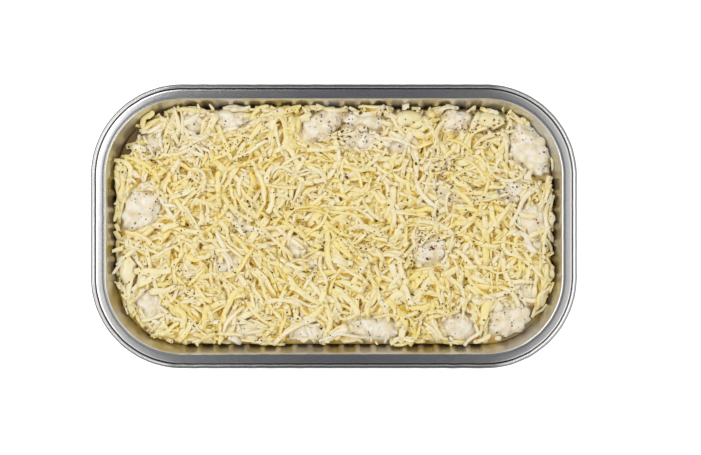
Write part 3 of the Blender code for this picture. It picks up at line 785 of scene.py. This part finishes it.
def weigh_places(lanes, heading, climbs, loose):
    """For each place that a strand tries: the heights below it, and the cost of lying there.
    That is the mean height and part of its spread, with more on bare chicken and where the
    strand would point at the wall, less along the pile's edge, and NO_PLACE where it would
    pass the edge or the pile's top, or cover pasta, bare chicken or a hollow."""
    row, column = cell_of(lanes[..., 0], lanes[..., 1])
    under = surface[row, column].max(axis=0)
    on_lump = bare[row, column].mean(axis=(0, 2))
    centre = lanes.mean(axis=(0, 2))
    x, y = centre.T
    front = (ease(0.5 - y / (80 * MM)) * 0.8 - 0.6) * MM + set_back(x, y) * (not climbs)
    limit = (CLIMBER_INSET if climbs else STRAND_INSET) * MM
    clear = plan_inset[row, column].min(axis=(0, 2)) > limit + front
    clear &= under.max(axis=1) < PILE_LIMIT
    clear &= pasta_cells[row, column].mean(axis=(0, 2)) < PASTA_COVER
    clear &= (on_lump < CHICKEN_COVER) | (loose & (on_lump < LOOSE_COVER))
    clear &= hollow[row, column].mean(axis=(0, 2)) < HOLLOW_COVER
    beyond = np.sign(centre) * np.maximum(np.abs(centre) - (CORE_X, CORE_Y), 0)
    along = np.stack([np.cos(heading), np.sin(heading)], axis=-1)
    across_edge = np.abs((along * beyond).sum(axis=1)) / (np.hypot(*beyond.T) + 1e-6)
    at_edge = ease((17 * MM - inset_at(x, y)) / (5 * MM))
    full = ease(1.0 + (y + 45 * MM) / (8 * MM)) * (1 - ease(front / MM))
    cost = under.mean(axis=1) + 0.6 * under.std(axis=1) + CHICKEN_COST * on_lump
    cost = cost + POINTING_COST * at_edge * across_edge - EDGE_GAIN * at_edge * full
    return under, np.where(clear, cost, NO_PLACE)


def settle(rest, step):
    """A strand's heights over what lies below: lifted until no station hangs more than a sag
    below the middle of its neighbours, nor an end 2.5 sags below the line of the two before.
    The sag grows with the square of the step between stations."""
    sag = SAG * (step / (1.6 * MM)) ** 2
    line = rest.copy()
    for _ in rest:
        line[1:-1] = np.maximum(rest[1:-1], (line[:-2] + line[2:]) / 2 - sag)
        line[0] = max(rest[0], 2 * line[1] - line[2] - 2.5 * sag)
        line[-1] = max(rest[-1], 2 * line[-2] - line[-3] - 2.5 * sag)
    return line


def raise_pile(path, side, line, length, width, thick):
    """Lays a strand on the plan: each cell along seven lanes across its width is raised to
    the strand's top."""
    fine = np.linspace(0, len(line) - 1, int(length / (0.7 * CELL)) + 2)
    whole = np.arange(len(line))
    x, y, side_x, side_y, z = (np.interp(fine, whole, part) for part in (*path.T, *side.T, line))
    top = z + 0.42 * thick
    for lane in np.arange(-0.42, 0.43, 0.14) * width:
        row, column = cell_of(x + side_x * lane, y + side_y * lane)
        surface[row, column] = np.maximum(surface[row, column], top)


def drop_strands(seed, count, length, width, thick, stations, tries):
    """Drops strands on the pile and returns their middle lines, widths, thicknesses, rolls
    and shades. Each takes the place of least cost of its tries, and is left out where it has
    no place."""
    draw = np.random.default_rng(seed)
    path, side, heading, longs = draw_paths(draw, count, length, stations, tries)
    widths = draw.uniform(*width, count) * draw.lognormal(0, 0.2, count) * MM
    thicks = draw.uniform(*thick, count) * MM
    climbs = draw.random(count) < CLIMBER_SHARE
    loose = draw.random(count) < LOOSE_SHARE
    lines = np.zeros((count, stations, 3))
    kept = np.zeros(count, bool)
    lanes_at = np.array((-0.35, 0, 0.35))[:, None, None, None]
    for k in range(count):
        lanes = path[k][None] + side[k][None] * lanes_at * widths[k]
        under, cost = weigh_places(lanes, heading[k], climbs[k], loose[k])
        best = int(cost.argmin())
        if cost[best] == NO_PLACE:
            continue
        line = settle(under[best], longs[k] / (stations - 1)) + 0.3 * thicks[k]
        raise_pile(path[k, best], side[k, best], line, longs[k], widths[k], thicks[k])
        lines[k, :, :2] = path[k, best]
        lines[k, :, 2] = line
        kept[k] = True
    share = np.linspace(-0.5, 0.5, stations)
    roll = draw.normal(0, 0.26, (count, 1)) + draw.normal(0, 0.45, (count, 1)) * share
    return lines[kept], widths[kept], thicks[kept], roll[kept], draw.random(count)[kept]


def strand_mesh(lines, widths, thicks, roll, seed):
    """Closed flat strands: a six-sided flat ring carried along each middle line, narrowed
    towards the torn ends, with its side and up directions rolled about the line."""
    draw = np.random.default_rng(seed)
    count, stations = lines.shape[:2]
    ahead = np.gradient(lines, axis=1)
    ahead /= np.linalg.norm(ahead, axis=2, keepdims=True)
    side = np.cross((0.0, 0.0, 1.0), ahead)
    side /= np.linalg.norm(side, axis=2, keepdims=True)
    up = np.cross(ahead, side)
    lean, rise = np.cos(roll)[..., None], np.sin(roll)[..., None]
    side, up = side * lean + up * rise, up * lean - side * rise
    share = np.abs(np.linspace(-1, 1, stations))
    ends = draw.uniform(0.05, 0.55, (count, 1))
    taper = 1.0 - ends * share[None, :] ** draw.uniform(4.0, 12.0, (count, 1))
    uneven = 1.0 + 0.11 * draw.normal(size=(count, stations))
    half_width = widths[:, None] / 2 * taper * np.clip(uneven, 0.75, 1.25)
    half_thick = thicks[:, None] / 2 * (1.0 - 0.45 * share[None, :] ** 4)
    ring_side = np.array((1.0, 0.82, -0.82, -1.0, -0.82, 0.82))
    ring_up = np.array((0.0, 1.0, 1.0, 0.0, -1.0, -1.0))
    points = lines[:, :, None, :]
    points = points + side[:, :, None, :] * (half_width[..., None] * ring_side)[..., None]
    points = points + up[:, :, None, :] * (half_thick[..., None] * ring_up)[..., None]
    points = inside_wall(points, STRAND_GAP)
    sides = len(ring_side)
    one = grid_faces(stations, sides, wrap_columns=True)[:, ::-1]
    first = np.arange(count)[:, None, None] * stations * sides
    quads = (one[None] + first).reshape(-1, 4).tolist()
    near = (np.arange(sides)[None, :] + first[:, 0]).tolist()
    far = (np.arange(sides)[None, ::-1] + first[:, 0] + (stations - 1) * sides).tolist()
    return points, quads + near + far


def cheese_finish():
    """Young grated cheese: matt and waxy, each strand its own shade between pale cream and
    butter yellow, creamed in patches, and with a painted golden shade where it lies deep in the
    pile and on its edges and underside, standing in for shade and for light passing through."""
    made, tree, shader = new_finish(
        "grated_cheese", CHEESE_PALE, 0.5,
        Subsurface_Weight=0.15, Subsurface_Scale=0.001, Subsurface_Radius=(1.0, 0.85, 0.55),
    )
    mottle, height = add_mottle(tree, CHEESE_PALE, CHEESE_DEEP, 0.006, 0.0008)
    own = mix_colours(tree, read_value(tree, "shade"), CHEESE_PALE, CHEESE_DEEP)
    colour = mix_colours(tree, 0.3, own, mottle)
    colour = mix_colours(tree, read_value(tree, "cream_share"), colour, CREAM_PALE)
    # Painted shade: the golden colour mixed in where the strand lies deep and on its edges.
    colour = mix_colours(tree, read_value(tree, "sunk"), colour, CHEESE_PAINTED_SHADE)
    feed(tree, colour, shader.inputs["Base Color"])
    add_bump(tree, shader, height, 0.1 * MM)
    return made


CHEESE = cheese_finish()
dropped = [drop_strands(31 + 2 * k, *sizes) for k, (_, *sizes) in enumerate(KINDS)]


def between_strands(x, y):
    """How high the bed has risen in the finished pile: the pile's height, averaged over a few
    millimetres round each place, less an uneven depth, never above the pile there, low beside
    the pasta and in the hollows, and sinking to the bed's edge at the wall."""
    pile = np.maximum(surface, bed_height(plan_x, plan_y))
    depth = 1.0 + 0.9 * ripples(np.stack([plan_x, plan_y], axis=-1) * 1000, 8.0, 24)
    risen = local_mean(pile, 6) - BED_BELOW_PILE * np.clip(depth, 0.5, 3.0)
    risen = np.minimum(risen, pile - 0.3 * MM) - 1.4 * MM * hollow
    beside_pasta = local_mean(pasta_cells, 3) > 0
    risen = np.where(beside_pasta, np.minimum(risen, 31.2 * MM), risen)
    row, column = cell_of(x, y)
    near_wall = ease((13.4 * MM + set_back(x, y) - inset_at(x, y)) / (2.1 * MM))
    far = ease(0.5 + y / (90 * MM))
    return risen[row, column] * (1 - near_wall) + (BED_TOP - (0.7 + 0.5 * far) * MM) * near_wall


bed_x, bed_y = fill_oblong(BED_INSET, BED_CELL)
bed_z = np.minimum(between_strands(bed_x, bed_y), BED_LIMIT)
layers = [np.stack([bed_x, bed_y, z], axis=-1) for z in (bed_z, np.full_like(bed_x, BED_BOTTOM))]
rows, columns = bed_x.shape
top_faces = grid_faces(rows, columns)
edge = np.concatenate([
    np.arange(columns), np.arange(1, rows) * columns + columns - 1,
    (rows - 1) * columns + np.arange(columns - 2, -1, -1), np.arange(rows - 2, 0, -1) * columns,
])
following = np.roll(edge, -1)
below = rows * columns
skirt = np.stack([following, edge, edge + below, following + below], axis=1)
# Painted shade: the bed is darkened brown in the gap at the wall, more towards the far side, and
# in the hollows.
dried = ease((13.6 * MM + set_back(bed_x, bed_y) - inset_at(bed_x, bed_y)) / (2.4 * MM))
dried = dried * (0.65 + 0.35 * ease(0.5 + bed_y / (90 * MM)))
dried = np.maximum(dried, 0.65 * hollow[cell_of(bed_x, bed_y)])
cheese_bed = piece_from(
    "cheese_bed", inside_wall(np.stack(layers), BED_GAP),
    np.concatenate([top_faces, top_faces[:, ::-1] + below, skirt]).tolist(), BED,
    cream_share=np.stack([creamy[cell_of(bed_x, bed_y)]] * 2),
    dried_edge=np.stack([dried, dried]),
)
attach(cheese_bed, "root")
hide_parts("grated_cheese")

for k, (lines, widths, thicks, roll, shade) in enumerate(dropped):
    points, faces = strand_mesh(lines, widths, thicks, roll, 51 + k)
    patch = ripples(lines.mean(axis=1)[:, :2] * 1000, 11.0, 45)
    shade = np.clip(shade + 0.32 * patch, 0.0, 1.0)
    row, column = cell_of(points[..., 0], points[..., 1])
    # Painted shade: golden by how far a ring point lies below the pile's top, and at least the
    # ring's painted share.
    sunk = ease((surface[row, column] - points[..., 2] - 0.3 * MM) / (1.3 * MM))
    sunk = np.maximum(sunk, RING_PAINTED_SHADE)
    shades = np.broadcast_to((shade ** 1.4)[:, None, None], sunk.shape)
    coat = creamy[cell_of(lines[..., 0], lines[..., 1])].mean(axis=1)
    coat = coat * (0.35 + 0.65 * shade[::-1])
    coat = np.minimum(coat + 0.3 * ease((-0.45 - patch) / 0.6), 1.0)
    coat = np.broadcast_to(coat[:, None, None], sunk.shape)
    cheese = piece_from(
        KINDS[k][0], points, faces, CHEESE, shade=shades, sunk=sunk, cream_share=coat,
    )
    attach(cheese, "root")
    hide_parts("grated_cheese")


# The seasoning: cracked pepper, chopped herb and chilli flakes, scattered over everything
# and lying on whatever shows from above. Each grain is a small rough chip.
PEPPER = linear(114, 78, 20)
SPICE = linear(158, 108, 32)
HERB = linear(92, 104, 44)
CHILLI = linear(196, 74, 30)
BUTTER = linear(238, 172, 40)
CHIP = np.array((
    (1, 0, 0.1), (0.3, 0.95, 0), (-0.8, 0.6, -0.1), (-0.8, -0.6, 0.1), (0.3, -0.95, 0),
    (0.1, 0.05, 0.9), (-0.1, 0, -0.9),
), float)
CHIP_FACES = [(i, (i + 1) % 5, 5) for i in range(5)] + [((i + 1) % 5, i, 6) for i in range(5)]
CHIP_INSET = 11.5 * MM
SPOT_INSET = 10.5 * MM
CHIPS_PER_SPOT = 16
CHIP_GAP = 0.1 * MM
PEPPERED = (
    (1.8, 47.0), (45.0, -9.0), (50.0, 28.0), (-38.0, 1.0), (10.0, -8.0), (-45.0, 37.0),
    (78.0, 47.0), (-20.0, 10.0), (60.0, 20.0), (85.0, 15.0), (65.0, 48.0), (-85.0, 33.0),
    (12.0, 44.0),
)
CHILLI_SPOTS = ((22.7, -3.2), (46.8, -10.7), (90.2, -13.5), (50.6, -23.9), (13.8, -42.8))
BUTTER_SPOTS = ((-1.3, 35.1), (-41.4, 15.7), (-38.6, 11.0), (48.7, -20.6), (-93.0, 21.5))


def scatter_chips(name, colour, roughness, count, size, flat, seed, keep_off=0.0, spots=(),
                  spread=0.0):
    """Chips at random places where smooth noise is above keep_off, and on the given spots or
    spread in mm round them: each a squashed seven-point chip with its own size, turn, tilt
    and unevenness, set on the pile's surface there."""
    draw = np.random.default_rng(seed)
    place = draw.uniform(*DROPPED_WITHIN, (count, 2)) * MM
    clump = ripples(place * 1000, 14.0, seed) + 0.5 * draw.normal(size=count)
    place = place[(inset_at(*place.T) > CHIP_INSET) & (clump > keep_off)]
    if spots:
        chosen = np.array(spots) * MM
        if spread > 0:
            chosen = np.repeat(chosen, CHIPS_PER_SPOT, axis=0)
            chosen = chosen + draw.normal(0, spread, chosen.shape) * MM
        place = np.concatenate([place, chosen])
        place = place[inset_at(*place.T) > SPOT_INSET]
    total = len(place)
    scale = draw.lognormal(0, 0.35, total) * size * MM / 2
    chips = CHIP[None] * draw.uniform(0.65, 1.35, (total, 7, 1))
    chips = chips * (np.array((1.0, 0.75, flat)) * scale[:, None])[:, None, :]
    turn = draw.uniform(0, 2 * np.pi, total)
    tilt = draw.normal(0, 0.3, (total, 2))
    along, across = np.cos(turn)[:, None], np.sin(turn)[:, None]
    x, y, z = np.moveaxis(chips, -1, 0)
    x, y = x * along - y * across, x * across + y * along
    turned = np.stack([x, y, z + (x * tilt[:, :1] + y * tilt[:, 1:])], axis=-1)
    height = surface[cell_of(*place.T)] + 0.5 * flat * scale + 0.08 * MM
    rest = np.column_stack([place, height])
    points = inside_wall(rest[:, None, :] + turned, CHIP_GAP)
    faces = (np.array(CHIP_FACES)[None] + (np.arange(total) * 7)[:, None, None]).reshape(-1, 3)
    finish, tree, shader = new_finish(f"{name}_finish", colour, roughness, Specular_IOR_Level=0.2)
    darker = tuple(0.55 * part for part in colour[:3]) + (1.0,)
    feed(tree, add_mottle(tree, colour, darker, 0.0012, 0.0004)[0], shader.inputs["Base Color"])
    made = piece_from(name, points, faces.tolist(), finish)
    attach(made, "root")


scatter_chips("cracked_pepper", PEPPER, 0.9, 1250, 0.68, 0.8, 61, 0.4, PEPPERED, 4.2)
scatter_chips("pepper_dust", PEPPER, 0.9, 1100, 0.42, 0.8, 62)
scatter_chips("ground_spice", SPICE, 0.9, 1600, 0.72, 0.6, 66, 0.4, PEPPERED, 4.6)
scatter_chips("herb_flecks", HERB, 0.5, 420, 0.9, 0.25, 63, 0.3)
scatter_chips("chilli_flakes", CHILLI, 0.4, 60, 0.8, 0.4, 64, 0.2, CHILLI_SPOTS)
scatter_chips("butter_specks", BUTTER, 0.35, 8, 1.7, 0.5, 65, 0.2, BUTTER_SPOTS)


# The picture: the tray on a white surface, seen from straight above, with a large softbox
# at the upper left and a weaker one at the lower right. The middle overhead is dark, so
# the flange is grey along the long sides and bright at the ends, as in the photograph.
PICTURE_WIDTH = 701.0
TRAY_PIXELS = 487.5
TRAY_MIDDLE = (333.8, 226.3)
PICTURE_MIDDLE = (350.5, 227.5)
CAMERA_HEIGHT = 0.9
FLOOR_GLOW = 0.6
CEILING = (0.045, 0.052, 0.062, 1.0)
ROOM = (0.75, 0.735, 0.71, 1.0)
CEILING_SHAPE = (1.0, 0.14, 0.0)
FOOD_MIDDLE = (0, 0, 0.03)
PIXEL = TRAY_LENGTH / TRAY_PIXELS

paper, paper_tree, paper_shader = new_finish(
    "white_paper", (0.88, 0.88, 0.88, 1.0), 0.8, Emission_Color=(1.0, 1.0, 1.0, 1.0),
)
seen = paper_tree.nodes.new("ShaderNodeLightPath").outputs["Is Camera Ray"]
glow = compute(paper_tree, "MULTIPLY", seen, FLOOR_GLOW)
feed(paper_tree, glow, paper_shader.inputs["Emission Strength"])
corners = np.array(((-3, -3, 0), (3, -3, 0), (3, 3, 0), (-3, 3, 0)), float)
floor = piece_from("white_floor", corners, [(0, 1, 2, 3)], paper)


def studio_world():
    """A pale room with a dark oblong ceiling: its brightness rises with the direction's
    distance from straight up, sooner towards the sides than towards front and back."""
    made = bpy.data.worlds.new("studio")
    made.use_nodes = True
    tree = made.node_tree
    oblong = tree.nodes.new("ShaderNodeVectorMath")
    oblong.operation = "MULTIPLY"
    oblong.inputs[1].default_value = CEILING_SHAPE
    feed(tree, tree.nodes.new("ShaderNodeTexCoord").outputs["Generated"], oblong.inputs[0])
    away = tree.nodes.new("ShaderNodeVectorMath")
    away.operation = "LENGTH"
    feed(tree, oblong.outputs["Vector"], away.inputs[0])
    share = map_range(tree, away.outputs["Value"], (0.05, 0.27), (0.0, 1.0), "SMOOTHSTEP")
    feed(tree, mix_colours(tree, share, CEILING, ROOM), tree.nodes["Background"].inputs["Color"])
    return made


bpy.context.scene.world = studio_world()


def add_softbox(name, place, aim, size, power):
    """A rectangular softbox at a place, turned to shine on a point."""
    lamp = bpy.data.lights.new(name, "AREA")
    lamp.shape = "RECTANGLE"
    lamp.size, lamp.size_y = size
    lamp.energy = power
    made = add_object(name, lamp)
    made.location = place
    towards = np.array(aim) - np.array(place)
    yaw = math.atan2(towards[1], towards[0])
    drop = math.atan2(math.hypot(towards[0], towards[1]), -towards[2])
    made.rotation_euler = (0.0, -drop, yaw)


add_softbox("left_softbox", (-0.74, 0.3, 1.05), FOOD_MIDDLE, (0.95, 1.5), 6.95)
add_softbox("right_softbox", (0.93, -0.5, 1.0), FOOD_MIDDLE, (0.85, 1.4), 3.7)

lens = bpy.data.cameras.new("camera")
lens.sensor_width = 36.0
lens.lens = lens.sensor_width * CAMERA_HEIGHT / (PICTURE_WIDTH * PIXEL)
camera = add_object("camera", lens)
camera.location = (
    (PICTURE_MIDDLE[0] - TRAY_MIDDLE[0]) * PIXEL,
    (TRAY_MIDDLE[1] - PICTURE_MIDDLE[1]) * PIXEL,
    TRAY_TOP + CAMERA_HEIGHT,
)
bpy.context.scene.camera = camera
bpy.context.scene.view_settings.view_transform = "Standard"
